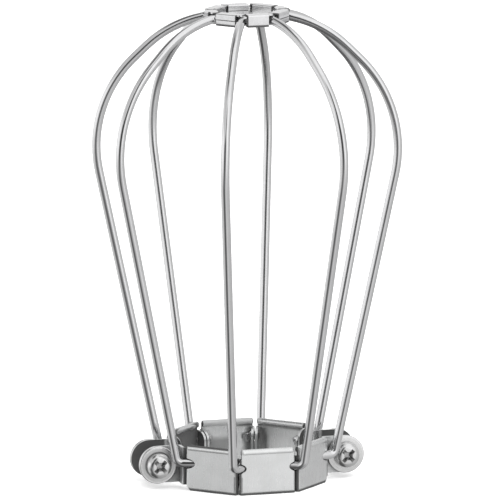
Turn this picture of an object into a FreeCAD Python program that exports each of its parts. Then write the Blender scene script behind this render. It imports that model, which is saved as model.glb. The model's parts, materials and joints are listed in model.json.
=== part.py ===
import FreeCAD, Part
import math
import os
from FreeCAD import Placement, Rotation, Vector

# Bulb cage guard: eight bent wires between a crown of folded clips and a clamping collar of sheet links.
# The origin is at the centre of the collar's bottom edge, +Z runs up the cage axis and the two clamp
# screws lie beside the collar at -X and +X with their heads towards -Y. Azimuths start at -Y and grow
# towards +X.

DIMENSIONS = {
    # Cage wire, degrees for leans, slopes and angles
    "wire_dia": 2.65,
    "wire_bend": 2.2,
    "hook_height": 8.1,
    "hook_length": 6.5,
    "hook_toe": 35,
    "hook_play": 0.3,
    "foot_standoff": 1.3,
    "leg_lean": 11.9,
    "shoulder_drop": 27.3,
    "shoulder_lean": 45.9,
    "shoulder_bend": 37.6,
    "dome_bend": 33.5,
    "crown_height": 141.4,
    "crown_radius": 11.4,
    "crown_slope": 11.9,
    "inner_rib_angle": 23.6,
    "outer_rib_angle": 72.9,
    "inner_rib_roll": 0.2,
    "outer_rib_roll": 1.0,
    # Crown clips
    "clip_gauge": 0.45,
    "clip_play": 0.08,
    "clip_start": 1.6,
    "clip_stop": 1.2,
    "tip_stop": 2.4,
    "tongue_reach": 0.5,
    "tongue_width": 2.4,
    "clip_round": 0.4,
    "clip_seam": 0.2,
    # Collar links and lugs
    "collar_radius": 25.0,
    "link_angle": 43.5,
    "band_height": 13.8,
    "sheet_gauge": 0.8,
    "sheet_bend": 0.5,
    "seam_gap": 0.4,
    "ear_depth": 5,
    "ear_height": 11,
    "ear_round": 3,
    "rim_inset": 1.2,
    "rim_bead": 2.0,
    "rim_proud": 0.15,
    "corner_cut": 2.3,
    # Clamp screws, washers and nuts
    "lug_height": 11.2,
    "clamp_clear": 0.02,
    "clamp_height": 7,
    "clamp_gap": 8.6,
    "screw_dia": 3.9,
    "screw_play": 0.2,
    "screw_tail": 1.8,
    "stack_play": 0.05,
    "head_dia": 7.6,
    "head_height": 2.8,
    "head_round": 1.8,
    "recess_span": 4.4,
    "recess_slot": 0.9,
    "recess_depth": 1.7,
    "washer_dia": 11.4,
    "washer_gauge": 1.0,
    "nut_flats": 7,
    "nut_height": 3.2,
    "nut_spin": 15,
}

doc = FreeCAD.newDocument("bulb_cage_guard")
sheet = doc.addObject("Spreadsheet::Sheet", "sizes")
for row, (alias, number) in enumerate(DIMENSIONS.items(), start=1):
    sheet.set(f"A{row}", alias)
    sheet.set(f"B{row}", str(number))
    sheet.setAlias(f"B{row}", alias)
doc.recompute()


def size(alias):
    return float(sheet.get(alias))


def bind(item, **expressions):
    """Tie an object's sizes to cells of the sheet."""
    for name, expression in expressions.items():
        item.setExpression(name, expression)
    return item


def primitive(kind, name, placement=Placement(), **expressions):
    item = doc.addObject(kind, name)
    item.Placement = placement
    return bind(item, **expressions)


def fuse(name, *shapes):
    item = doc.addObject("Part::MultiFuse", name)
    item.Shapes = list(shapes)
    item.Refine = True
    return item


def cut(name, base, *tools):
    item = doc.addObject("Part::Cut", name)
    item.Base = base
    item.Tool = tools[0] if len(tools) == 1 else fuse(f"{name}_tools", *tools)
    return item


def round_edges(name, base, radius, wanted):
    """Round the edges of base that wanted(edge) picks."""
    doc.recompute()
    item = doc.addObject("Part::Fillet", name)
    item.Base = base
    numbered = enumerate(base.Shape.Edges, start=1)
    item.Edges = [(number, radius, radius) for number, edge in numbered if wanted(edge)]
    return item


def turned(azimuth):
    """Placement that carries local +X to an azimuth about the cage axis."""
    return Placement(Vector(), Rotation(Vector(0, 0, 1), azimuth - 90))


def rounded_run(points, radii):
    """Straight runs through points, each inner corner rounded to its radius where the runs leave room."""
    tangents = [0.0]
    for before, corner, after, radius in zip(points, points[1:], points[2:], radii):
        turn = (corner - before).getAngle(after - corner)
        tangents.append(radius * math.tan(turn / 2))
    tangents.append(0.0)
    for index, (start, end) in enumerate(zip(points, points[1:])):
        room = 0.98 * start.distanceToPoint(end)
        asked = tangents[index] + tangents[index + 1]
        if asked > room:
            tangents[index] *= room / asked
            tangents[index + 1] *= room / asked
    edges = []
    last = points[0]
    for before, corner, after, tangent in zip(points, points[1:], points[2:], tangents[1:]):
        back = (before - corner).normalize()
        ahead = (after - corner).normalize()
        enter = corner + back * tangent
        leave = corner + ahead * tangent
        half_opening = back.getAngle(ahead) / 2
        bisector = (back + ahead).normalize()
        radius = tangent * math.tan(half_opening)
        middle = corner + bisector * (radius / math.sin(half_opening) - radius)
        edges.append(Part.LineSegment(last, enter).toShape())
        edges.append(Part.Arc(enter, middle, leave).toShape())
        last = leave
    edges.append(Part.LineSegment(last, points[-1]).toShape())
    return Part.Wire(edges)


def sweep(name, run, section):
    spine = doc.addObject("Part::Feature", f"{name}_run")
    spine.Shape = run
    item = doc.addObject("Part::Sweep", name)
    item.Sections = [section]
    item.Spine = (spine, [f"Edge{number + 1}" for number in range(len(run.Edges))])
    item.Solid = True
    item.Frenet = False
    return item


def strip(name, points, height_alias):
    """Upright sheet strip bent along points, which mark its lower edge."""
    run = rounded_run(points, [size("sheet_bend")] * (len(points) - 2))
    ahead = (points[1] - points[0]).normalize()
    up = Vector(0, 0, 1)
    across = up.cross(ahead)
    corner = points[0] - across * (size("sheet_gauge") / 2)
    facing = Placement(corner, Rotation(across, up, across.cross(up)))
    section = primitive("Part::Plane", f"{name}_section", facing,
                        Length="sizes.sheet_gauge", Width=f"sizes.{height_alias}")
    return sweep(name, run, section)


nodes = []


def finish(item, label):
    item.Label = label
    nodes.append(item)
    return item


# Cage wires, in order of azimuth from the left end of the front half
RIB_NAMES = ("front_left_outer", "front_left_inner", "front_right_inner", "front_right_outer",
             "back_right_outer", "back_right_inner", "back_left_inner", "back_left_outer")
ribs = []
for name in RIB_NAMES:
    half, hand, rank = name.split("_")
    away = -1 if (half == "front") == (hand == "left") else 1
    half_azimuth = 0 if half == "front" else 180
    azimuth = half_azimuth + away * size(f"{rank}_rib_angle")
    lean = -away * size("inner_rib_roll") if rank == "inner" else away * size("outer_rib_roll")
    about_crown = Placement(Vector(), Rotation(Vector(1, 0, 0), -lean), Vector(0, 0, size("crown_height")))
    ribs.append({
        "name": name,
        "azimuth": azimuth,
        "seam": half_azimuth + away * size("link_angle") * (0.5 if rank == "inner" else 1.5),
        "away": away,
        "level": Rotation(Vector(1, 0, 0), lean),
        "place": turned(azimuth).multiply(about_crown),
    })


def side_angle(index):
    """Angle about the cage axis from one wire to the next."""
    following = ribs[(index + 1) % len(ribs)]["azimuth"]
    return (following - ribs[index]["azimuth"]) % 360


def crown_side(index):
    """Length of the crown's side between one wire's corner and the next one's."""
    return 2 * size("crown_radius") * math.sin(math.radians(side_angle(index) / 2))


def hook_heading(rib):
    toe = math.radians(size("hook_toe"))
    return Vector(-math.cos(toe), -rib["away"] * math.sin(toe), 0)


def hook_corner():
    return Vector(size("collar_radius") + size("foot_standoff"), 0, size("hook_height"))


def clamp_radius():
    """Distance of the screw axes from the cage axis, which keeps the nuts clear of the outer wires."""
    outer_foot = ribs[RIB_NAMES.index("front_right_outer")]["place"].multVec(hook_corner())
    return outer_foot.x + size("wire_dia") / 2 + size("clamp_clear") + size("nut_flats") / 2


def tip_heading(index):
    """Level heading from a wire's crown corner to the next one, seen in the wire's own plane."""
    half_side = math.radians(side_angle(index) / 2)
    return ribs[index]["level"].multVec(Vector(-math.sin(half_side), math.cos(half_side), 0))


def crown_corner():
    return Vector(size("crown_radius"), 0, size("crown_height"))


def dome_corner(shoulder):
    """Corner where the run up from the shoulder meets the run down from the crown."""
    drift = math.tan(math.radians(size("shoulder_lean")))
    slope = math.tan(math.radians(size("crown_slope")))
    crown = crown_corner()
    span = (shoulder.x - crown.x - drift * (crown.z - shoulder.z)) / (1 - drift * slope)
    return Vector(crown.x + span, 0, crown.z - slope * span)


def make_rib(index, rib):
    """Wire from its hook in the collar, up the leg and over the dome, to its tip in a crown clip."""
    foot = hook_corner()
    crown = crown_corner()
    leg_rise = crown.z - size("shoulder_drop") - foot.z
    shoulder = foot + Vector(leg_rise * math.tan(math.radians(size("leg_lean"))), 0, leg_rise)
    dome = dome_corner(shoulder)
    tip = crown + tip_heading(index) * (crown_side(index) - size("tip_stop"))
    toe = foot + hook_heading(rib) * size("hook_length")
    bends = [size("wire_bend"), size("shoulder_bend"), size("dome_bend"), size("wire_bend")]
    run = rounded_run([toe, foot, shoulder, dome, crown, tip], bends)
    name = f"rib_{rib['name']}"
    facing = Placement(toe, Rotation(Vector(0, 0, 1), foot - toe))
    section = primitive("Part::Circle", f"{name}_section", facing, Radius="sizes.wire_dia / 2")
    wire = sweep(name, run, section)
    wire.Placement = rib["place"]
    return finish(wire, name)


def make_hook_hole(rib):
    """Cutter that clears a wire's hook through the two collar pieces that it ties together."""
    facing = Placement(hook_corner(), Rotation(Vector(0, 0, 1), hook_heading(rib)))
    return primitive("Part::Cylinder", f"hook_hole_{rib['name']}", rib["place"].multiply(facing),
                     Radius="sizes.wire_dia / 2 + sizes.hook_play",
                     Height="sizes.hook_length + sizes.wire_dia")


def make_clip(index, name, seam_side):
    """Folded sleeve over one wire's tip, with a tongue that reaches over the next wire's corner."""
    heading = tip_heading(index)
    up = ribs[index]["level"].multVec(Vector(0, 0, 1))
    at_crown = Placement(crown_corner(), Rotation(heading, up.cross(heading), up))
    place = ribs[index]["place"].multiply(at_crown)
    hollow = size("wire_dia") / 2 + size("clip_play")
    outside = hollow + size("clip_gauge")
    length = crown_side(index) - size("clip_start") - size("clip_stop")
    body = primitive("Part::Box", f"{name}_body",
                     Placement(Vector(size("clip_start"), -outside, -outside), Rotation()),
                     Width="sizes.wire_dia + 2 * (sizes.clip_play + sizes.clip_gauge)",
                     Height="sizes.wire_dia + 2 * (sizes.clip_play + sizes.clip_gauge)")
    body.Length = length
    eased = round_edges(f"{name}_eased", body, size("clip_round"),
                        lambda edge: abs(edge.tangentAt(edge.FirstParameter).x) > 0.9)
    tongue = primitive("Part::Box", f"{name}_tongue",
                       Placement(Vector(size("clip_start"), -size("tongue_width") / 2, hollow), Rotation()),
                       Width="sizes.tongue_width", Height="sizes.clip_gauge")
    tongue.Length = crown_side(index) - size("clip_start") + size("tongue_reach")
    tongue_end = size("clip_start") + tongue.Length.Value
    soft_tongue = round_edges(f"{name}_tongue_eased", tongue, size("tongue_width") * 0.4,
                              lambda edge: abs(edge.tangentAt(edge.FirstParameter).z) > 0.9
                              and abs(edge.CenterOfMass.x - tongue_end) < 0.01)
    inside = primitive("Part::Box", f"{name}_inside",
                       Placement(Vector(0, -hollow, -hollow), Rotation()),
                       Width="sizes.wire_dia + 2 * sizes.clip_play",
                       Height="sizes.wire_dia + 2 * sizes.clip_play")
    inside.Length = crown_side(index)
    slit_start = -outside if seam_side < 0 else 0
    slit = primitive("Part::Box", f"{name}_slit",
                     Placement(Vector(0, slit_start, -size("clip_seam") / 2), Rotation()),
                     Height="sizes.clip_seam")
    slit.Length = crown_side(index)
    slit.Width = outside
    clip = cut(name, fuse(f"{name}_sheet", eased, soft_tongue), inside, slit)
    clip.Placement = place
    return finish(clip, name)


def ear_edges(bottom, top):
    """Picks the short level edges at the inner ends of a piece's ears."""
    inner = size("collar_radius") - size("ear_depth")

    def wanted(edge):
        middle = edge.CenterOfMass
        level = abs(edge.tangentAt(edge.FirstParameter).z) < 0.01
        at_end = abs(math.hypot(middle.x, middle.y) - inner) < size("sheet_gauge") / 2
        return level and at_end and min(abs(middle.z - bottom), abs(middle.z - top)) < 0.01

    return wanted


def ear_line(seam_angle, side, distance):
    """Point on an ear's middle line beside a seam, at a distance from the cage axis."""
    angle = math.radians(seam_angle)
    radial = Vector(math.sin(angle), -math.cos(angle), 0)
    along = Vector(math.cos(angle), math.sin(angle), 0)
    return radial * distance + along * side * (size("seam_gap") + size("sheet_gauge")) / 2


def make_corner_cut(name, end):
    """Cutter for the bevelled lower corner at one end of a link."""
    corner = Vector(end * size("collar_radius") * math.sin(math.radians(size("link_angle") / 2)),
                    -size("collar_radius"), 0)
    side = math.sqrt(2) * size("corner_cut")
    on_edge = Placement(corner, Rotation(Vector(0, 1, 0), 45))
    cutter = primitive("Part::Box", f"{name}_corner",
                       on_edge.multiply(Placement(Vector(-side / 2, 0, -side / 2), Rotation())),
                       Width="sizes.ear_depth")
    cutter.Length = side
    cutter.Height = side
    return cutter


def make_link(name, *rib_names):
    """Flat collar link with a rolled rim and an ear bent inwards at each end, one for each wire's hook."""
    first, second = [RIB_NAMES.index(rib_name) for rib_name in rib_names]
    azimuth = (ribs[first]["seam"] + ribs[second]["seam"]) / 2
    half_angle = size("link_angle") / 2
    half = math.radians(half_angle)
    face = size("collar_radius") * math.cos(half)
    offset = (size("seam_gap") + size("sheet_gauge")) / 2
    corner_reach = (face - size("sheet_gauge") / 2 - offset * math.sin(half)) / math.cos(half)
    ear_end = size("collar_radius") - size("ear_depth")
    points = [ear_line(-half_angle, 1, ear_end), ear_line(-half_angle, 1, corner_reach),
              ear_line(half_angle, -1, corner_reach), ear_line(half_angle, -1, ear_end)]
    band = strip(f"{name}_band", points, "ear_height")
    shaped = round_edges(f"{name}_ears", band, size("ear_round"), ear_edges(0, size("ear_height")))
    rim_half = size("collar_radius") * math.sin(half) - size("rim_inset")
    bead_radius = size("rim_bead") / 2
    wall = primitive("Part::Box", f"{name}_wall",
                     Placement(Vector(-rim_half, -face, size("ear_height") / 2), Rotation()),
                     Width="sizes.sheet_gauge",
                     Height="sizes.band_height - sizes.rim_bead / 2 - sizes.ear_height / 2")
    wall.Length = 2 * rim_half
    bead_y = bead_radius - face - size("rim_proud")
    bead_end = Vector(-rim_half, bead_y, size("band_height") - bead_radius)
    bead = primitive("Part::Cylinder", f"{name}_bead",
                     Placement(bead_end, Rotation(Vector(0, 1, 0), 90)),
                     Radius="sizes.rim_bead / 2")
    bead.Height = 2 * rim_half
    soft_bead = round_edges(f"{name}_bead_eased", bead, bead_radius / 2, lambda edge: edge.Closed)
    plate = fuse(f"{name}_plate", shaped, wall, soft_bead)
    for end, rib_name in zip((-1, 1), rib_names):
        if "outer" in rib_name:
            plate = cut(f"{name}_trimmed", plate, make_corner_cut(name, end))
    plate.Placement = Placement(Vector(), Rotation(Vector(0, 0, 1), azimuth))
    return finish(cut(name, plate, hook_holes[first], hook_holes[second]), name)


def make_lug(name, rib_name):
    """Collar end piece that is hooked to an outer wire and turns outwards as a round clamp lug."""
    side = -1 if "left" in rib_name else 1
    end = -1 if "front" in rib_name else 1
    seam_angle = size("link_angle") * 1.5
    to_clamp = math.radians(90 - seam_angle)
    wall_x = size("collar_radius") * math.cos(to_clamp) - size("sheet_gauge") / 2
    offset = (size("seam_gap") + size("sheet_gauge")) / 2
    corner_reach = (wall_x - offset * math.sin(to_clamp)) / math.cos(to_clamp)
    ear_end = size("collar_radius") - size("ear_depth")
    lug_y = (size("clamp_gap") + size("sheet_gauge")) / 2
    front_right = [ear_line(seam_angle, 1, ear_end), ear_line(seam_angle, 1, corner_reach),
                   Vector(wall_x, -lug_y, 0), Vector(clamp_radius(), -lug_y, 0)]
    bottom = size("clamp_height") - size("lug_height") / 2
    points = [Vector(side * point.x, -end * point.y, bottom) for point in front_right]
    band = strip(f"{name}_band", points, "lug_height")
    shaped = round_edges(f"{name}_ear", band, size("ear_round"),
                         ear_edges(bottom, bottom + size("lug_height")))
    disc_y = end * lug_y + size("sheet_gauge") / 2
    on_axis = on_clamp(side, disc_y)
    disc = primitive("Part::Cylinder", f"{name}_disc", on_axis,
                     Radius="sizes.lug_height / 2", Height="sizes.sheet_gauge")
    hole = primitive("Part::Cylinder", f"{name}_hole", on_axis,
                     Radius="sizes.screw_dia / 2 + sizes.screw_play", Height="sizes.sheet_gauge")
    hook_hole = hook_holes[RIB_NAMES.index(rib_name)]
    return finish(cut(name, fuse(f"{name}_sheet", shaped, disc), hole, hook_hole), name)


def on_clamp(side, y):
    """Placement on a clamp's screw axis, local +Z towards -Y."""
    return Placement(Vector(side * clamp_radius(), y, size("clamp_height")),
                     Rotation(Vector(1, 0, 0), 90))


def make_washer(name, side, rear_y):
    disc = primitive("Part::Cylinder", f"{name}_disc",
                     Radius="sizes.washer_dia / 2", Height="sizes.washer_gauge")
    hole = primitive("Part::Cylinder", f"{name}_hole",
                     Radius="sizes.screw_dia / 2 + sizes.screw_play", Height="sizes.washer_gauge")
    washer = cut(name, disc, hole)
    washer.Placement = on_clamp(side, rear_y)
    return finish(washer, name)


def make_nut(name, side, rear_y):
    hexagon = primitive("Part::Prism", f"{name}_hexagon",
                        Circumradius="sizes.nut_flats / 2 / cos(30)", Height="sizes.nut_height")
    hexagon.Polygon = 6
    hole = primitive("Part::Cylinder", f"{name}_hole",
                     Radius="sizes.screw_dia / 2 + sizes.screw_play", Height="sizes.nut_height")
    nut = cut(name, hexagon, hole)
    spin = Placement(Vector(), Rotation(Vector(0, 0, 1), side * size("nut_spin")))
    nut.Placement = on_clamp(side, rear_y).multiply(spin)
    return finish(nut, name)


def make_screw(name, side, seat_y, shank):
    """Pan-head screw with a cross recess; the head's underside is at local z = 0."""
    head = primitive("Part::Cylinder", f"{name}_head",
                     Radius="sizes.head_dia / 2", Height="sizes.head_height")
    top = size("head_height")
    domed = round_edges(f"{name}_dome", head, size("head_round"),
                        lambda edge: edge.Closed and abs(edge.CenterOfMass.z - top) < 0.01)
    stem = primitive("Part::Cylinder", f"{name}_stem", Placement(Vector(0, 0, -shank), Rotation()),
                     Radius="sizes.screw_dia / 2")
    stem.Height = shank
    floor = size("head_height") - size("recess_depth")
    corner = Placement(Vector(-size("recess_span") / 2, -size("recess_slot") / 2, floor), Rotation())
    slots = []
    for turn in (45, 135):
        spin = Placement(Vector(), Rotation(Vector(0, 0, 1), turn))
        slots.append(primitive("Part::Box", f"{name}_slot_{turn}", spin.multiply(corner),
                               Length="sizes.recess_span", Width="sizes.recess_slot",
                               Height="sizes.recess_depth"))
    screw = cut(name, fuse(f"{name}_blank", domed, stem), *slots)
    screw.Placement = on_clamp(side, seat_y)
    return finish(screw, name)


hook_holes = []
for index, rib in enumerate(ribs):
    make_rib(index, rib)
    hook_holes.append(make_hook_hole(rib))

CLIPS = ("front_left", "front_middle", "front_right", "right",
         "back_right", "back_middle", "back_left", "left")
for index, clip_name in enumerate(CLIPS):
    make_clip(index, f"clip_{clip_name}", 1 if index % 2 else -1)

LINKS = {
    "front_left": ("front_left_outer", "front_left_inner"),
    "front_middle": ("front_left_inner", "front_right_inner"),
    "front_right": ("front_right_inner", "front_right_outer"),
    "back_right": ("back_right_outer", "back_right_inner"),
    "back_middle": ("back_right_inner", "back_left_inner"),
    "back_left": ("back_left_inner", "back_left_outer"),
}
for link_name, rib_names in LINKS.items():
    make_link(f"link_{link_name}", *rib_names)

for lug_name in ("front_left", "front_right", "back_right", "back_left"):
    make_lug(f"lug_{lug_name}", f"{lug_name}_outer")

stack = size("clamp_gap") / 2 + size("sheet_gauge") + size("stack_play")
nut_front = stack + size("washer_gauge") + size("stack_play")
head_seat = -(stack + size("washer_gauge") + size("stack_play"))
shank_length = nut_front + size("nut_height") + size("screw_tail") - head_seat
for side, hand in ((-1, "left"), (1, "right")):
    make_washer(f"head_washer_{hand}", side, -stack)
    make_washer(f"nut_washer_{hand}", side, stack + size("washer_gauge"))
    make_nut(f"nut_{hand}", side, nut_front + size("nut_height"))
    make_screw(f"screw_{hand}", side, head_seat, shank_length)

doc.recompute()
for item in doc.Objects:
    if "Invalid" in item.State or "Error" in item.State:
        raise RuntimeError(f"{item.Label} failed: {item.State}")
for node in nodes:
    if node.Shape.isNull() or not node.Shape.isValid():
        raise RuntimeError(f"{node.Label} has no valid shape")
    if len(node.Shape.Solids) != 1:
        raise RuntimeError(f"{node.Label} has {len(node.Shape.Solids)} solids")

os.makedirs("parts", exist_ok=True)
for node in nodes:
    node.Shape.exportStep(f"parts/{node.Label}.step")
    print(node.Label, round(node.Shape.Volume, 2))
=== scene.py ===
import json
import math

import bmesh
import bpy
from mathutils import Matrix, Vector


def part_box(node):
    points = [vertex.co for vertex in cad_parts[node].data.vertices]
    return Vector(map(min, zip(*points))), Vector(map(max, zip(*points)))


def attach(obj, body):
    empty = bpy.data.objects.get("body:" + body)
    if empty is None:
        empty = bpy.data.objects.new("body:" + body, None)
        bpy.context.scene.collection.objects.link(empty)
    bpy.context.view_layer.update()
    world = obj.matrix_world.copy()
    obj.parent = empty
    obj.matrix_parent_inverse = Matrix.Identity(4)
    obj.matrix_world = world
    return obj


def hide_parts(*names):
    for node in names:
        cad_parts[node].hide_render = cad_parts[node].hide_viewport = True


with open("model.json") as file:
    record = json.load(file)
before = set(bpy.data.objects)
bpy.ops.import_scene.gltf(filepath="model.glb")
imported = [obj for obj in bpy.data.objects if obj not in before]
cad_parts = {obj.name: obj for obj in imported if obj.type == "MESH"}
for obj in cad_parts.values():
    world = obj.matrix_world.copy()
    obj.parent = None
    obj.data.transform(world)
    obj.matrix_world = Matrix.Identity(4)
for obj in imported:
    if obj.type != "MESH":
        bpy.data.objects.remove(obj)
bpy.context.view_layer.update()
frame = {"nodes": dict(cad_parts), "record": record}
scene = bpy.context.scene
MM = 0.001

# Camera of the photograph: a long lens far away, left of the front and a little above
CAMERA_AZIMUTH = -15.65
CAMERA_ELEVATION = 10.7
CAMERA_DISTANCE = 2.497
FRAME_WIDTH = 0.150
AXIS_POINT = Vector((0, 0, 71.1 * MM))
AIM_RIGHT = 0.9 * MM
AIM_DOWN = 1.0 * MM
SENSOR = 36
NEAR_CLIP = 0.1
FAR_CLIP = 50

# Studio: rings of soft panels and dark gaps, as angles to the right of the camera and brightness
LOW_PANELS = (
    (-164, 0.34), (-126, 0.78), (-84, 0.64), (-62, 0.44), (-50, 0.14), (-28, 0.09), (-12, 0.28), (0, 0.46),
    (15, 0.66), (28, 0.68), (45, 0.58), (68, 0.56), (102, 0.54), (140, 0.44), (195, 0.32),
)
LEVEL_PANELS = (
    (-164, 0.85), (-120, 0.95), (-84, 1.05), (-62, 1.05), (-48, 0.90), (-35, 0.50), (-25, 0.06), (3, 0.04),
    (14, 0.42), (26, 0.96), (45, 1.14), (60, 0.80), (84, 0.60), (102, 0.58), (140, 0.60), (195, 0.85),
)
HIGH_PANELS = (
    (-164, 0.80), (-150, 0.45), (-132, 0.40), (-110, 0.60), (-54, 0.62), (-40, 0.62), (-28, 0.90),
    (-21, 0.60), (-15, 0.05), (6, 0.05), (14, 0.85), (21, 1.10), (60, 1.00), (100, 0.65), (140, 0.60),
    (195, 0.80),
)
OVERHEAD_PANELS = (
    (-164, 0.60), (-140, 0.14), (-72, 0.08), (-46, 0.60), (-18, 0.95), (4, 1.00), (140, 1.00), (195, 0.60),
)
UNDER_PANELS = ((-164, 0.08), (-20, 0.10), (30, 0.36), (100, 0.46), (150, 0.40), (195, 0.08))
ZENITH = 1.00
BACKDROP = 0.98

# Heights on a unit sphere where a ring begins and where it has taken over
LEVEL_SPAN = (-0.45, 0.05)
HIGH_SPAN = (0.20, 0.42)
OVERHEAD_SPAN = (0.68, 0.84)
ZENITH_SPAN = (0.94, 0.99)
UNDER_SPAN = (-0.60, -0.85)

# Floor of pale paper, with a soft shadow inside the front of the collar
FLOOR_HALF = 4.0
PAPER_SHADES = (0.90, 0.93)
FLOOR_ROUGHNESS = 0.9
FLOOR_SPECULAR = 0.1
FLOOR_GLOW = 0.4
SHADOW_SHADE = 0.3
SHADOW_DEPTH = (-12 * MM, -17 * MM)
SHADOW_RADIUS = (24 * MM, 22.5 * MM)

# Plated steel
BLUE_TINT = (1, 1, 1.01)
CYAN_TINT = (0.99, 1, 1)
NO_TINT = (1, 1, 1)
NOISE_SPAN = (0.3, 0.7)
SATIN_SPAN = (0.25, 0.75)
BLOTCH_SHARE = 0.6
STREAK_SHARE = 0.4
GRAIN_DEPTH = 0.03 * MM
EDGE_BEND = (0.99, 0.75)
EDGE_WEAR = 0.25
EDGE_SHADE = 0.9

# Painted shade, which darkens the base colour, takes metal away and adds roughness: a pair is where it
# starts and where it is full, as a length, the slope of a face or a share of sky
PAINTED_SHADE = 0.94
PAINTED_SHADE_GREY = 0.035
PAINTED_SHADE_ROUGHNESS = 0.6
CREVICE_SKY = (0.62, 0.18)
# Painted shade under the crown and on the ends of its clips
CROWN_EDGE_HEIGHT = (140.45 * MM, 140.05 * MM)
CLIP_END_ASIDE = (0.55, 0.8)
CLIP_END_SHADE = 0.85
# Painted shadow on the washers round the screw heads
HEAD_RING_RADIUS = (4.6 * MM, 3.7 * MM)
HEAD_RING_SHADOW = 0.9
WASHER_FACE_RADIUS = (5.3 * MM, 4.9 * MM)
WASHER_FACE_SHADOW = 0.26
RIGHT_HEAD_SHARE = 0.3

# Painted shade on the collar, with X to the right, depth to the back and height from the foot
LINK_ANGLE = math.radians(43.5)
WALL_OUTWARD = (-0.3, -0.7)
WALL_RADIUS = (21.8 * MM, 22.2 * MM)
EAR_ASIDE = (0.5, 0.8)
BEND_RADIUS = (22.8 * MM, 23.6 * MM)
SEAM_INSIDE = (0, 0.25 * MM)
FOOT_HEIGHT = (1.1 * MM, 0.5 * MM)
LUG_ASIDE = (23.5 * MM, 25.0 * MM)
LUG_DEPTH = (4.5 * MM, 4.36 * MM)
BACK_DEPTH = (2 * MM, 6 * MM)
BACK_LEFT_X = (-9.2 * MM, -10.0 * MM)
BACK_LEFT_SHADE = 0.9
BACK_LOW_HEIGHT = (9.6 * MM, 7.0 * MM)
BACK_LOW_X = (4 * MM, 0)
BACK_LOW_SHADE = 0.66
UNDER_RIM_HEIGHT = (10.7 * MM, 11.8 * MM)
UNDER_RIM_END = (12.2 * MM, 12.0 * MM)
UNDER_RIM_X = (1 * MM, 4 * MM)
UNDER_RIM_SHADE = 0.85
BACK_RIM_HEIGHT = (12.0 * MM, 12.4 * MM)
BACK_RIM_DEPTH = (20 * MM, 21 * MM)
BACK_RIM_SHADE = 0.32
FRONT_RIM_UPWARD = (0.45, 0.65)
FRONT_RIM_HEIGHT = (12.4 * MM, 12.6 * MM)
FRONT_RIM_X = (-9.8 * MM, -10.4 * MM)
FRONT_RIM_DEPTH = (-8 * MM, -9 * MM)
HOLLOW_REACH = 14 * MM
HOLLOW_SKY = (0.56, 0.12)

# The band of painted shade in a seam narrows between two radii, and the hollow has less of it on the right
SEAM_RADII = (23.0 * MM, 24.2 * MM)
SEAM_HALF_WIDTHS = (1.35 * MM, 1.0 * MM)
HOLLOW_X = (5 * MM, 14 * MM)
HOLLOW_SHARES = (1, 0.45)

# Clamp hardware, made along local +Z, which points out of the screw heads
SEGMENTS = 72
SHARP = math.radians(32)
WELD = 0.001 * MM
FRONTWARDS = Matrix.Rotation(math.radians(90), 4, "X")
HEAD_HEIGHT = 2.8 * MM
HEAD_RADIUS = 3.8 * MM
HEAD_ROUND = 1.8 * MM
HEAD_ROUND_STEPS = 8
HEAD_CHAMFER = 0.12 * MM
RECESS_TURNS = (45, 135)
RECESS_FLOOR = 0.9 * MM
RECESS_TOP = HEAD_HEIGHT + 0.2 * MM
RECESS_TOP_BAR = (2.45 * MM, 0.62 * MM, RECESS_TOP)
RECESS_FLOOR_BAR = (1.2 * MM, 0.4 * MM, RECESS_FLOOR)
RECESS_CONE = ((0, RECESS_FLOOR), (0.75 * MM, RECESS_FLOOR), (1.35 * MM, RECESS_TOP), (0, RECESS_TOP))
THREAD_PITCH = 0.7 * MM
THREAD_CREST = 1.95 * MM
THREAD_ROOT = 1.55 * MM
THREAD_END = THREAD_ROOT - 0.2 * MM
THREAD_STEPS = 28
# Shares of the pitch with the radius there
THREAD_OUTLINE = (
    (0, THREAD_ROOT), (0.25, THREAD_ROOT), (0.5625, THREAD_CREST), (0.6875, THREAD_CREST), (1, THREAD_ROOT),
)
WASHER_BORE = 2.15 * MM
WASHER_ROUND = 0.25 * MM
WASHER_ROUND_STEPS = 4
WASHER_REAR_CHAMFER = 0.08 * MM
BORE_REAR_CHAMFER = 0.05 * MM
BORE_FRONT_CHAMFER = 0.15 * MM
NUT_HALF_FLATS = 3.5 * MM
NUT_FACE_RADIUS = 3.3 * MM
NUT_BORE = 2.05 * MM
NUT_MOUTH = 2.3 * MM
NUT_SLOPE = math.tan(math.radians(30))
NUT_SPIN = {"left": -15, "right": 15}
HEXAGON_SIDE = 60


def feed(tree, socket, value):
    """Sets an input, or links it where the value is another node's output."""
    if isinstance(value, bpy.types.NodeSocket):
        tree.links.new(value, socket)
    else:
        socket.default_value = value


def connect(tree, node, inputs):
    for key, value in inputs.items():
        feed(tree, node.inputs[key], value)


def add(tree, kind, inputs=None, **settings):
    """New shader node with its settings and inputs."""
    made = tree.nodes.new(kind)
    for key, value in settings.items():
        setattr(made, key, value)
    connect(tree, made, inputs or {})
    return made


def math_node(tree, operation, *values):
    return add(tree, "ShaderNodeMath", dict(enumerate(values)), operation=operation).outputs[0]


def vector_node(tree, operation, *vectors):
    return add(tree, "ShaderNodeVectorMath", dict(enumerate(vectors)), operation=operation).outputs


def split(tree, vector):
    return add(tree, "ShaderNodeSeparateXYZ", {"Vector": vector}).outputs


def remap(tree, value, low, high, to_low, to_high, smooth=False):
    inputs = {"Value": value, "From Min": low, "From Max": high, "To Min": to_low, "To Max": to_high}
    kind = "SMOOTHSTEP" if smooth else "LINEAR"
    return add(tree, "ShaderNodeMapRange", inputs, interpolation_type=kind).outputs["Result"]


def fade(tree, value, span, full=1, smooth=True):
    """Nothing up to the start of a span, and full past its end."""
    return remap(tree, value, *span, 0, full, smooth)


def product(tree, *factors):
    result = factors[0]
    for factor in factors[1:]:
        result = math_node(tree, "MULTIPLY", result, factor)
    return result


def largest(tree, *values):
    result = values[0]
    for value in values[1:]:
        result = math_node(tree, "MAXIMUM", result, value)
    return result


def distance(tree, value, other):
    return math_node(tree, "ABSOLUTE", math_node(tree, "SUBTRACT", value, other))


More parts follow.
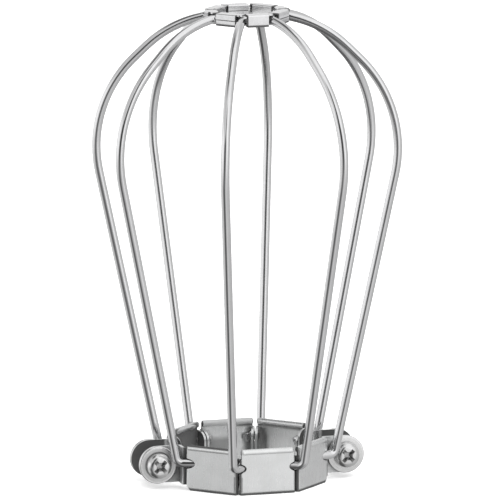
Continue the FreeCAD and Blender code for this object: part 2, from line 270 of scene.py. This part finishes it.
def level_part(tree, vector):
    return vector_node(tree, "MULTIPLY", vector, (1, 1, 0))["Vector"]


def level_length(tree, vector):
    return vector_node(tree, "LENGTH", level_part(tree, vector))["Value"]


def noise(tree, place, scale, detail, roughness=0.5):
    inputs = {"Vector": place, "Scale": scale, "Detail": detail, "Roughness": roughness}
    return add(tree, "ShaderNodeTexNoise", inputs).outputs["Fac"]


def mix_colours(tree, factor, first, second):
    made = add(tree, "ShaderNodeMix", data_type="RGBA")
    sockets = {socket.identifier: socket for socket in made.inputs}
    feed(tree, sockets["Factor_Float"], factor)
    feed(tree, sockets["A_Color"], first)
    feed(tree, sockets["B_Color"], second)
    return next(socket for socket in made.outputs if socket.identifier == "Result_Color")


def grey(value, tint=NO_TINT):
    return (value * tint[0], value * tint[1], value * tint[2], 1)


def new_material(name):
    material = bpy.data.materials.new(name)
    material.use_nodes = True
    tree = material.node_tree
    return material, tree, tree.nodes["Principled BSDF"]


def panel_ring(tree, turn, panels):
    """Brightness round the studio at one height."""
    ramp = add(tree, "ShaderNodeValToRGB", {"Fac": turn})
    ramp.color_ramp.interpolation = "EASE"
    stops = ramp.color_ramp.elements
    while len(stops) < len(panels):
        stops.new(0.5)
    for stop, (angle, value) in zip(stops, panels):
        stop.position = min(max((angle + CAMERA_AZIMUTH + 180) / 360, 0), 1)
        stop.color = grey(value)
    return ramp.outputs["Color"]


def make_studio():
    """Panels that light the part and show in the metal. The camera sees a plain pale backdrop instead."""
    world = bpy.data.worlds.new("studio")
    world.use_nodes = True
    scene.world = world
    tree = world.node_tree
    tree.nodes.clear()
    ray = split(tree, add(tree, "ShaderNodeTexCoord").outputs["Generated"])
    towards_front = math_node(tree, "MULTIPLY", ray["Y"], -1)
    azimuth = math_node(tree, "ARCTAN2", ray["X"], towards_front)
    turn = remap(tree, azimuth, -math.pi, math.pi, 0, 1)
    walls = panel_ring(tree, turn, LOW_PANELS)
    rings = (
        (LEVEL_SPAN, LEVEL_PANELS), (HIGH_SPAN, HIGH_PANELS), (OVERHEAD_SPAN, OVERHEAD_PANELS),
        (UNDER_SPAN, UNDER_PANELS),
    )
    for span, panels in rings:
        walls = mix_colours(tree, fade(tree, ray["Z"], span), walls, panel_ring(tree, turn, panels))
    walls = mix_colours(tree, fade(tree, ray["Z"], ZENITH_SPAN), walls, grey(ZENITH))
    mirrored = add(tree, "ShaderNodeBackground", {"Color": walls, "Strength": 1.0})
    backdrop = add(tree, "ShaderNodeBackground", {"Color": grey(BACKDROP), "Strength": 1.0})
    seen = add(tree, "ShaderNodeLightPath").outputs["Is Camera Ray"]
    both = add(tree, "ShaderNodeMixShader", {0: seen, 1: mirrored.outputs[0], 2: backdrop.outputs[0]})
    add(tree, "ShaderNodeOutputWorld", {"Surface": both.outputs[0]})


def make_light(name, place, size, power):
    light = bpy.data.lights.new(name, "AREA")
    light.shape = "DISK"
    light.size = size
    light.energy = power
    lamp = bpy.data.objects.new(name, light)
    lamp.location = place
    lamp.rotation_euler = (AXIS_POINT - Vector(place)).to_track_quat("-Z", "Y").to_euler()
    lamp.visible_glossy = False
    lamp.visible_camera = False
    scene.collection.objects.link(lamp)


def make_camera():
    azimuth = math.radians(CAMERA_AZIMUTH)
    elevation = math.radians(CAMERA_ELEVATION)
    level = math.cos(elevation)
    back = Vector((math.sin(azimuth) * level, -math.cos(azimuth) * level, math.sin(elevation)))
    right = Vector((math.cos(azimuth), math.sin(azimuth), 0))
    up = back.cross(right)
    aim = AXIS_POINT + right * AIM_RIGHT - up * AIM_DOWN
    data = bpy.data.cameras.new("camera")
    data.sensor_width = SENSOR
    data.lens = SENSOR * CAMERA_DISTANCE / FRAME_WIDTH
    data.clip_start = NEAR_CLIP
    data.clip_end = FAR_CLIP
    camera = bpy.data.objects.new("camera", data)
    camera.location = aim + back * CAMERA_DISTANCE
    camera.rotation_euler = back.to_track_quat("Z", "Y").to_euler()
    scene.collection.objects.link(camera)
    scene.camera = camera


def make_floor():
    mesh = bpy.data.meshes.new("floor")
    signs = ((-1, -1), (1, -1), (1, 1), (-1, 1))
    mesh.from_pydata([(x * FLOOR_HALF, y * FLOOR_HALF, 0) for x, y in signs], [], [(0, 1, 2, 3)])
    floor = bpy.data.objects.new("floor", mesh)
    scene.collection.objects.link(floor)
    material, tree, shader = new_material("floor_paper")
    place = add(tree, "ShaderNodeTexCoord").outputs["Object"]
    fibre = noise(tree, place, scale=900.0, detail=3.0)
    paper = mix_colours(tree, fibre, grey(PAPER_SHADES[0]), grey(PAPER_SHADES[1]))
    shadow = product(tree, fade(tree, split(tree, place)["Y"], SHADOW_DEPTH),
                     fade(tree, level_length(tree, place), SHADOW_RADIUS))
    connect(tree, shader, {
        "Base Color": mix_colours(tree, shadow, paper, grey(SHADOW_SHADE)),
        "Roughness": FLOOR_ROUGHNESS,
        "Specular IOR Level": FLOOR_SPECULAR,
        "Emission Color": mix_colours(tree, shadow, grey(1), grey(0)),
        "Emission Strength": FLOOR_GLOW,
    })
    mesh.materials.append(material)
    floor.visible_glossy = False


def middle_and_corners(node):
    low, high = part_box(node)
    return (low + high) / 2, low, high


def occlusion_shade(tree, reach, sky_span):
    """Painted shade where the surroundings within reach hide the sky."""
    sky = add(tree, "ShaderNodeAmbientOcclusion", {"Distance": reach}, samples=8).outputs["AO"]
    return fade(tree, sky, sky_span, PAINTED_SHADE)


def from_axis(tree, place):
    """Level direction away from the upright axis."""
    return vector_node(tree, "NORMALIZE", level_part(tree, place))["Vector"]


def facing_aside(tree, outwards, normal):
    """How far a face looks round the ring, to either side."""
    crossed = vector_node(tree, "CROSS_PRODUCT", outwards, normal)["Vector"]
    return math_node(tree, "ABSOLUTE", split(tree, crossed)["Z"])


def seam_painted_shade(tree, aside, depth, radius):
    """Painted shade in the slits on both sides of every link."""
    turn = math_node(tree, "ARCTAN2", aside, depth)
    from_seam = distance(tree, distance(tree, turn, LINK_ANGLE), LINK_ANGLE / 2)
    half_width = remap(tree, radius, *SEAM_RADII, *SEAM_HALF_WIDTHS)
    inside = math_node(tree, "SUBTRACT", half_width, math_node(tree, "MULTIPLY", from_seam, radius))
    return fade(tree, inside, SEAM_INSIDE, PAINTED_SHADE)


def collar_painted_shade(tree, place):
    """Painted shade on the collar: in its seams, along its foot, between the lugs, on the rims and inside.
    """
    parts = split(tree, place)
    right = parts["X"]
    depth = parts["Y"]
    height = parts["Z"]
    aside = math_node(tree, "ABSOLUTE", right)
    either_depth = math_node(tree, "ABSOLUTE", depth)
    radius = level_length(tree, place)
    normal = add(tree, "ShaderNodeNewGeometry").outputs["Normal"]
    upward = split(tree, normal)["Z"]
    outwards = from_axis(tree, place)
    outward = vector_node(tree, "DOT_PRODUCT", outwards, normal)["Value"]

    ear_face = fade(tree, facing_aside(tree, outwards, normal), EAR_ASIDE)
    folded = largest(tree, ear_face, fade(tree, radius, BEND_RADIUS))
    seam = product(tree, seam_painted_shade(tree, aside, either_depth, radius), folded)
    foot = fade(tree, height, FOOT_HEIGHT, PAINTED_SHADE)
    between_lugs = product(tree, fade(tree, aside, LUG_ASIDE),
                           fade(tree, either_depth, LUG_DEPTH, PAINTED_SHADE, smooth=False))

    inner_face = product(tree, fade(tree, outward, WALL_OUTWARD), fade(tree, radius, WALL_RADIUS))
    back_wall = product(tree, inner_face, fade(tree, depth, BACK_DEPTH))
    back_left = product(tree, back_wall, fade(tree, right, BACK_LEFT_X, BACK_LEFT_SHADE))
    back_low = product(tree, back_wall, fade(tree, height, BACK_LOW_HEIGHT, BACK_LOW_SHADE),
                       fade(tree, right, BACK_LOW_X))
    under_rim = product(tree, back_wall, fade(tree, height, UNDER_RIM_HEIGHT, UNDER_RIM_SHADE),
                        fade(tree, height, UNDER_RIM_END, smooth=False), fade(tree, right, UNDER_RIM_X))
    back_rim = product(tree, fade(tree, height, BACK_RIM_HEIGHT, BACK_RIM_SHADE),
                       fade(tree, depth, BACK_RIM_DEPTH, smooth=False))
    front_rim = product(tree, fade(tree, upward, FRONT_RIM_UPWARD, PAINTED_SHADE),
                        fade(tree, height, FRONT_RIM_HEIGHT, smooth=False),
                        fade(tree, right, FRONT_RIM_X, smooth=False),
                        fade(tree, depth, FRONT_RIM_DEPTH, smooth=False))
    hollow = product(tree, occlusion_shade(tree, HOLLOW_REACH, HOLLOW_SKY),
                     remap(tree, right, *HOLLOW_X, *HOLLOW_SHARES, smooth=True))
    return largest(tree, seam, foot, between_lugs, back_left, back_low, under_rim, back_rim, front_rim,
                   hollow)


def crown_painted_shade(tree, place):
    """Painted shade along the lower edge of the crown and on the ends of its clips."""
    normal = add(tree, "ShaderNodeNewGeometry").outputs["Normal"]
    lower_edge = fade(tree, split(tree, place)["Z"], CROWN_EDGE_HEIGHT, PAINTED_SHADE)
    aside = facing_aside(tree, from_axis(tree, place), normal)
    return largest(tree, lower_edge, fade(tree, aside, CLIP_END_ASIDE, CLIP_END_SHADE))


def head_painted_shadow(tree, place):
    """Painted shadow on a washer round its screw head, heavier on the left."""
    parts = split(tree, place)
    screw = middle_and_corners("screw_right")[0]
    across = math_node(tree, "SUBTRACT", math_node(tree, "ABSOLUTE", parts["X"]), screw.x)
    rise = math_node(tree, "SUBTRACT", parts["Z"], screw.z)
    offset = add(tree, "ShaderNodeCombineXYZ", {"X": across, "Y": rise}).outputs["Vector"]
    radius = level_length(tree, offset)
    share = remap(tree, parts["X"], -MM, MM, 1, RIGHT_HEAD_SHARE)
    ring = fade(tree, radius, HEAD_RING_RADIUS, HEAD_RING_SHADOW)
    face = fade(tree, radius, WASHER_FACE_RADIUS, WASHER_FACE_SHADOW)
    return product(tree, share, largest(tree, ring, face))


def plated(name, shades, roughness, stretch, cloud, bump, edge, reach, tint=NO_TINT, extra_shade=None):
    """Plated steel: cloudy tint, a grain stretched one way, bright soft edges and painted shade in the
    crevices.
    """
    material, tree, shader = new_material(name)
    place = add(tree, "ShaderNodeTexCoord").outputs["Object"]
    along = add(tree, "ShaderNodeMapping", {"Vector": place, "Scale": stretch}).outputs["Vector"]
    grain = noise(tree, along, scale=1.0, detail=5.0, roughness=0.6)
    mottle = noise(tree, place, scale=cloud, detail=4.0, roughness=0.55)
    rounded = add(tree, "ShaderNodeBevel", {"Radius": edge}, samples=4).outputs["Normal"]
    flat = add(tree, "ShaderNodeNewGeometry").outputs["Normal"]
    worn = fade(tree, vector_node(tree, "DOT_PRODUCT", rounded, flat)["Value"], EDGE_BEND, EDGE_WEAR)
    # Painted shade: darker, less metallic and rougher where the surroundings hide the sky, and wherever the
    # extra painted shade mask says
    shade_mask = occlusion_shade(tree, reach, CREVICE_SKY)
    if extra_shade:
        shade_mask = largest(tree, shade_mask, extra_shade(tree, place))
    blotch = math_node(tree, "MULTIPLY", fade(tree, mottle, NOISE_SPAN), BLOTCH_SHARE)
    streak = math_node(tree, "MULTIPLY", fade(tree, grain, NOISE_SPAN, smooth=False), STREAK_SHARE)
    dark, light = shades
    plate = mix_colours(tree, math_node(tree, "ADD", blotch, streak), grey(dark, tint), grey(light, tint))
    edged = mix_colours(tree, worn, plate, grey(EDGE_SHADE))
    satin = remap(tree, grain, *SATIN_SPAN, *roughness)
    dulled = math_node(tree, "ADD", satin, math_node(tree, "MULTIPLY", shade_mask, PAINTED_SHADE_ROUGHNESS))
    relief = {"Strength": bump, "Distance": GRAIN_DEPTH, "Height": grain, "Normal": rounded}
    connect(tree, shader, {
        # The base colour goes dark where shade is painted
        "Base Color": mix_colours(tree, shade_mask, edged, grey(PAINTED_SHADE_GREY)),
        "Roughness": dulled,
        "Metallic": math_node(tree, "SUBTRACT", 1.0, shade_mask),
        "Normal": add(tree, "ShaderNodeBump", relief).outputs["Normal"],
    })
    return material


def revolve(shape, profile):
    """Skin of a profile of radius and height pairs turned about local Z."""
    turns = [2 * math.pi * step / SEGMENTS for step in range(SEGMENTS)]
    rings = []
    for radius, height in profile:
        if radius == 0:
            rings.append([shape.verts.new((0, 0, height))])
            continue
        rings.append([shape.verts.new((radius * math.cos(a), radius * math.sin(a), height)) for a in turns])
    for lower, upper in zip(rings, rings[1:]):
        for step in range(SEGMENTS):
            after = (step + 1) % SEGMENTS
            corners = []
            for vert in (lower[step % len(lower)], lower[after % len(lower)],
                         upper[after % len(upper)], upper[step % len(upper)]):
                if vert not in corners:
                    corners.append(vert)
            shape.faces.new(corners)


def rounded_edge(outer, top, bend, steps):
    """Profile points of a rounded upper edge."""
    points = []
    for step in range(steps + 1):
        angle = math.radians(90 * step / steps)
        points.append((outer - bend + bend * math.cos(angle), top - bend + bend * math.sin(angle)))
    return points


def as_object(name, shape):
    """Object from a bmesh, smooth but for its sharp edges."""
    bmesh.ops.remove_doubles(shape, verts=shape.verts, dist=WELD)
    bmesh.ops.recalc_face_normals(shape, faces=shape.faces)
    for face in shape.faces:
        face.smooth = True
    for edge in shape.edges:
        edge.smooth = edge.is_manifold and edge.calc_face_angle(0) < SHARP
    mesh = bpy.data.meshes.new(name)
    shape.to_mesh(mesh)
    shape.free()
    made = bpy.data.objects.new(name, mesh)
    scene.collection.objects.link(made)
    return made


def carve(body, *tools):
    """Mesh of a body with the tools cut out of it."""
    for tool in tools:
        modifier = body.modifiers.new("carve", "BOOLEAN")
        modifier.object = tool
        modifier.operation = "DIFFERENCE"
        modifier.solver = "EXACT"
    graph = bpy.context.evaluated_depsgraph_get()
    mesh = bpy.data.meshes.new_from_object(body.evaluated_get(graph))
    for spare in (body, *tools):
        bpy.data.objects.remove(spare)
    return mesh


def tapered_bar(name, turn, top, bottom):
    """Wedge-sided bar across local Z: top and bottom give half length, half width and height."""
    shape = bmesh.new()
    loops = []
    for half_length, half_width, height in (bottom, top):
        corners = [(-half_length, -half_width), (half_length, -half_width),
                   (half_length, half_width), (-half_length, half_width)]
        loops.append([shape.verts.new((x, y, height)) for x, y in corners])
    lower, upper = loops
    shape.faces.new(reversed(lower))
    shape.faces.new(upper)
    for step in range(len(lower)):
        after = (step + 1) % len(lower)
        shape.faces.new((lower[step], lower[after], upper[after], upper[step]))
    bmesh.ops.rotate(shape, verts=shape.verts, matrix=Matrix.Rotation(turn, 3, "Z"))
    return as_object(name, shape)


def make_head():
    """Pan head with a cross recess, its underside at local z = 0."""
    profile = [(0, 0), (HEAD_RADIUS - HEAD_CHAMFER, 0), (HEAD_RADIUS, HEAD_CHAMFER)]
    profile += rounded_edge(HEAD_RADIUS, HEAD_HEIGHT, HEAD_ROUND, HEAD_ROUND_STEPS)
    profile.append((0, HEAD_HEIGHT))
    shape = bmesh.new()
    revolve(shape, profile)
    head = as_object("head", shape)
    bars = [tapered_bar(f"bar_{turn}", math.radians(turn), RECESS_TOP_BAR, RECESS_FLOOR_BAR)
            for turn in RECESS_TURNS]
    shape = bmesh.new()
    revolve(shape, RECESS_CONE)
    return carve(head, *bars, as_object("cone", shape))


def add_thread(shape, length):
    """Helical thread down local -Z from the head's underside, with a bevelled end."""
    start = -length - THREAD_PITCH
    count = int((length + 2 * THREAD_PITCH) / THREAD_PITCH * THREAD_STEPS)
    before = None
    for step in range(count + 1):
        angle = 2 * math.pi * step / THREAD_STEPS
        column = []
        for share, radius in THREAD_OUTLINE:
            height = start + THREAD_PITCH * (step / THREAD_STEPS + share)
            height = min(max(height, -length), 0)
            radius = min(radius, THREAD_END + (height + length))
            column.append(shape.verts.new((radius * math.cos(angle), radius * math.sin(angle), height)))
        if before:
            for low in range(len(column) - 1):
                shape.faces.new((before[low], column[low], column[low + 1], before[low + 1]))
        before = column
    revolve(shape, [(0, -length), (THREAD_END, -length)])


def place_hardware(piece, node, body, spot, finish="fastener"):
    """Turns local +Z towards the front, and lets the piece stand for a CAD node."""
    piece.data.transform(Matrix.Translation(spot) @ FRONTWARDS)
    piece.data.materials.clear()
    piece.data.materials.append(materials[finish])
    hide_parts(node)
    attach(piece, body)


def make_screw(hand):
    node = f"screw_{hand}"
    middle, low, high = middle_and_corners(node)
    shape = bmesh.new()
    shape.from_mesh(make_head())
    add_thread(shape, high.y - low.y - HEAD_HEIGHT)
    screw = as_object(f"cross_screw_{hand}", shape)
    place_hardware(screw, node, f"{hand}_screw", Vector((middle.x, low.y + HEAD_HEIGHT, middle.z)))


def make_washer(node, piece_name, body, finish):
    """Stamped washer, rounded on its punched side."""
    middle, low, high = middle_and_corners(node)
    outer = (high.x - low.x) / 2
    gauge = high.y - low.y
    profile = [(WASHER_BORE, BORE_REAR_CHAMFER), (WASHER_BORE + BORE_REAR_CHAMFER, 0),
               (outer - WASHER_REAR_CHAMFER, 0), (outer, WASHER_REAR_CHAMFER)]
    profile += rounded_edge(outer, gauge, WASHER_ROUND, WASHER_ROUND_STEPS)
    profile += [(WASHER_BORE + BORE_FRONT_CHAMFER, gauge), (WASHER_BORE, gauge - BORE_FRONT_CHAMFER),
                (WASHER_BORE, BORE_REAR_CHAMFER)]
    shape = bmesh.new()
    revolve(shape, profile)
    washer = as_object(piece_name, shape)
    place_hardware(washer, node, body, Vector((middle.x, high.y, middle.z)), finish)


def make_nut(hand):
    """Hexagon nut with both faces turned down at the corners."""
    node = f"nut_{hand}"
    middle, low, high = middle_and_corners(node)
    thick = high.y - low.y
    lead = NUT_MOUTH - NUT_BORE
    shape = bmesh.new()
    columns = []
    for step in range(SEGMENTS):
        angle = 360 * step / SEGMENTS
        from_flat = (angle - NUT_SPIN[hand]) % HEXAGON_SIDE - HEXAGON_SIDE / 2
        across = NUT_HALF_FLATS / math.cos(math.radians(from_flat))
        drop = (across - NUT_FACE_RADIUS) * NUT_SLOPE
        turn = math.radians(angle)
        outline = [(NUT_BORE, lead), (NUT_MOUTH, 0), (NUT_FACE_RADIUS, 0), (across, drop),
                   (across, thick - drop), (NUT_FACE_RADIUS, thick), (NUT_MOUTH, thick),
                   (NUT_BORE, thick - lead)]
        columns.append([shape.verts.new((r * math.cos(turn), r * math.sin(turn), z)) for r, z in outline])
    for step in range(SEGMENTS):
        here = columns[step]
        there = columns[(step + 1) % SEGMENTS]
        for index in range(len(here)):
            after = (index + 1) % len(here)
            shape.faces.new((here[index], there[index], there[after], here[after]))
    nut = as_object(f"hexagon_nut_{hand}", shape)
    place_hardware(nut, node, "cage", Vector((middle.x, high.y, middle.z)))


wire = dict(shades=(0.78, 0.85), roughness=(0.08, 0.13), stretch=(900, 900, 25), cloud=160.0,
            bump=0.05, edge=0.05 * MM, reach=2.5 * MM, tint=BLUE_TINT)
clip = dict(shades=(0.82, 0.95), roughness=(0.14, 0.22), stretch=(2200, 2200, 120), cloud=420.0,
            bump=0.04, edge=0.1 * MM, reach=2.5 * MM, tint=BLUE_TINT, extra_shade=crown_painted_shade)
sheet = dict(shades=(0.84, 0.93), roughness=(0.24, 0.34), stretch=(2200, 2200, 120), cloud=240.0,
             bump=0.10, edge=0.12 * MM, reach=2.4 * MM, tint=CYAN_TINT, extra_shade=collar_painted_shade)
hardware = dict(shades=(0.76, 0.88), roughness=(0.14, 0.24), stretch=(1600, 1600, 1600), cloud=300.0,
                bump=0.06, edge=0.1 * MM, reach=3 * MM)
materials = {
    "cage_wire": plated("cage_wire_zinc", **wire),
    "crown_clip": plated("crown_clip_zinc", **clip),
    "collar_sheet": plated("collar_sheet_zinc", **sheet),
    "fastener": plated("fastener_zinc", **hardware),
    "washer": plated("washer_zinc", **hardware, extra_shade=head_painted_shadow),
}
for part in frame["record"]["subparts"]:
    for slot in frame["nodes"][part["node"]].material_slots:
        slot.material = materials[part["material_slot"]]

for hand in ("left", "right"):
    make_screw(hand)
    make_washer(f"head_washer_{hand}", f"front_washer_{hand}", f"{hand}_head_washer", "washer")
    make_washer(f"nut_washer_{hand}", f"rear_washer_{hand}", "cage", "fastener")
    make_nut(hand)

make_studio()
make_light("overhead", place=(0.3, -0.5, 1.5), size=1.4, power=14)
make_light("behind", place=(-0.4, 1.2, 1.3), size=1.2, power=12)
make_camera()
make_floor()
scene.view_settings.view_transform = "Standard"
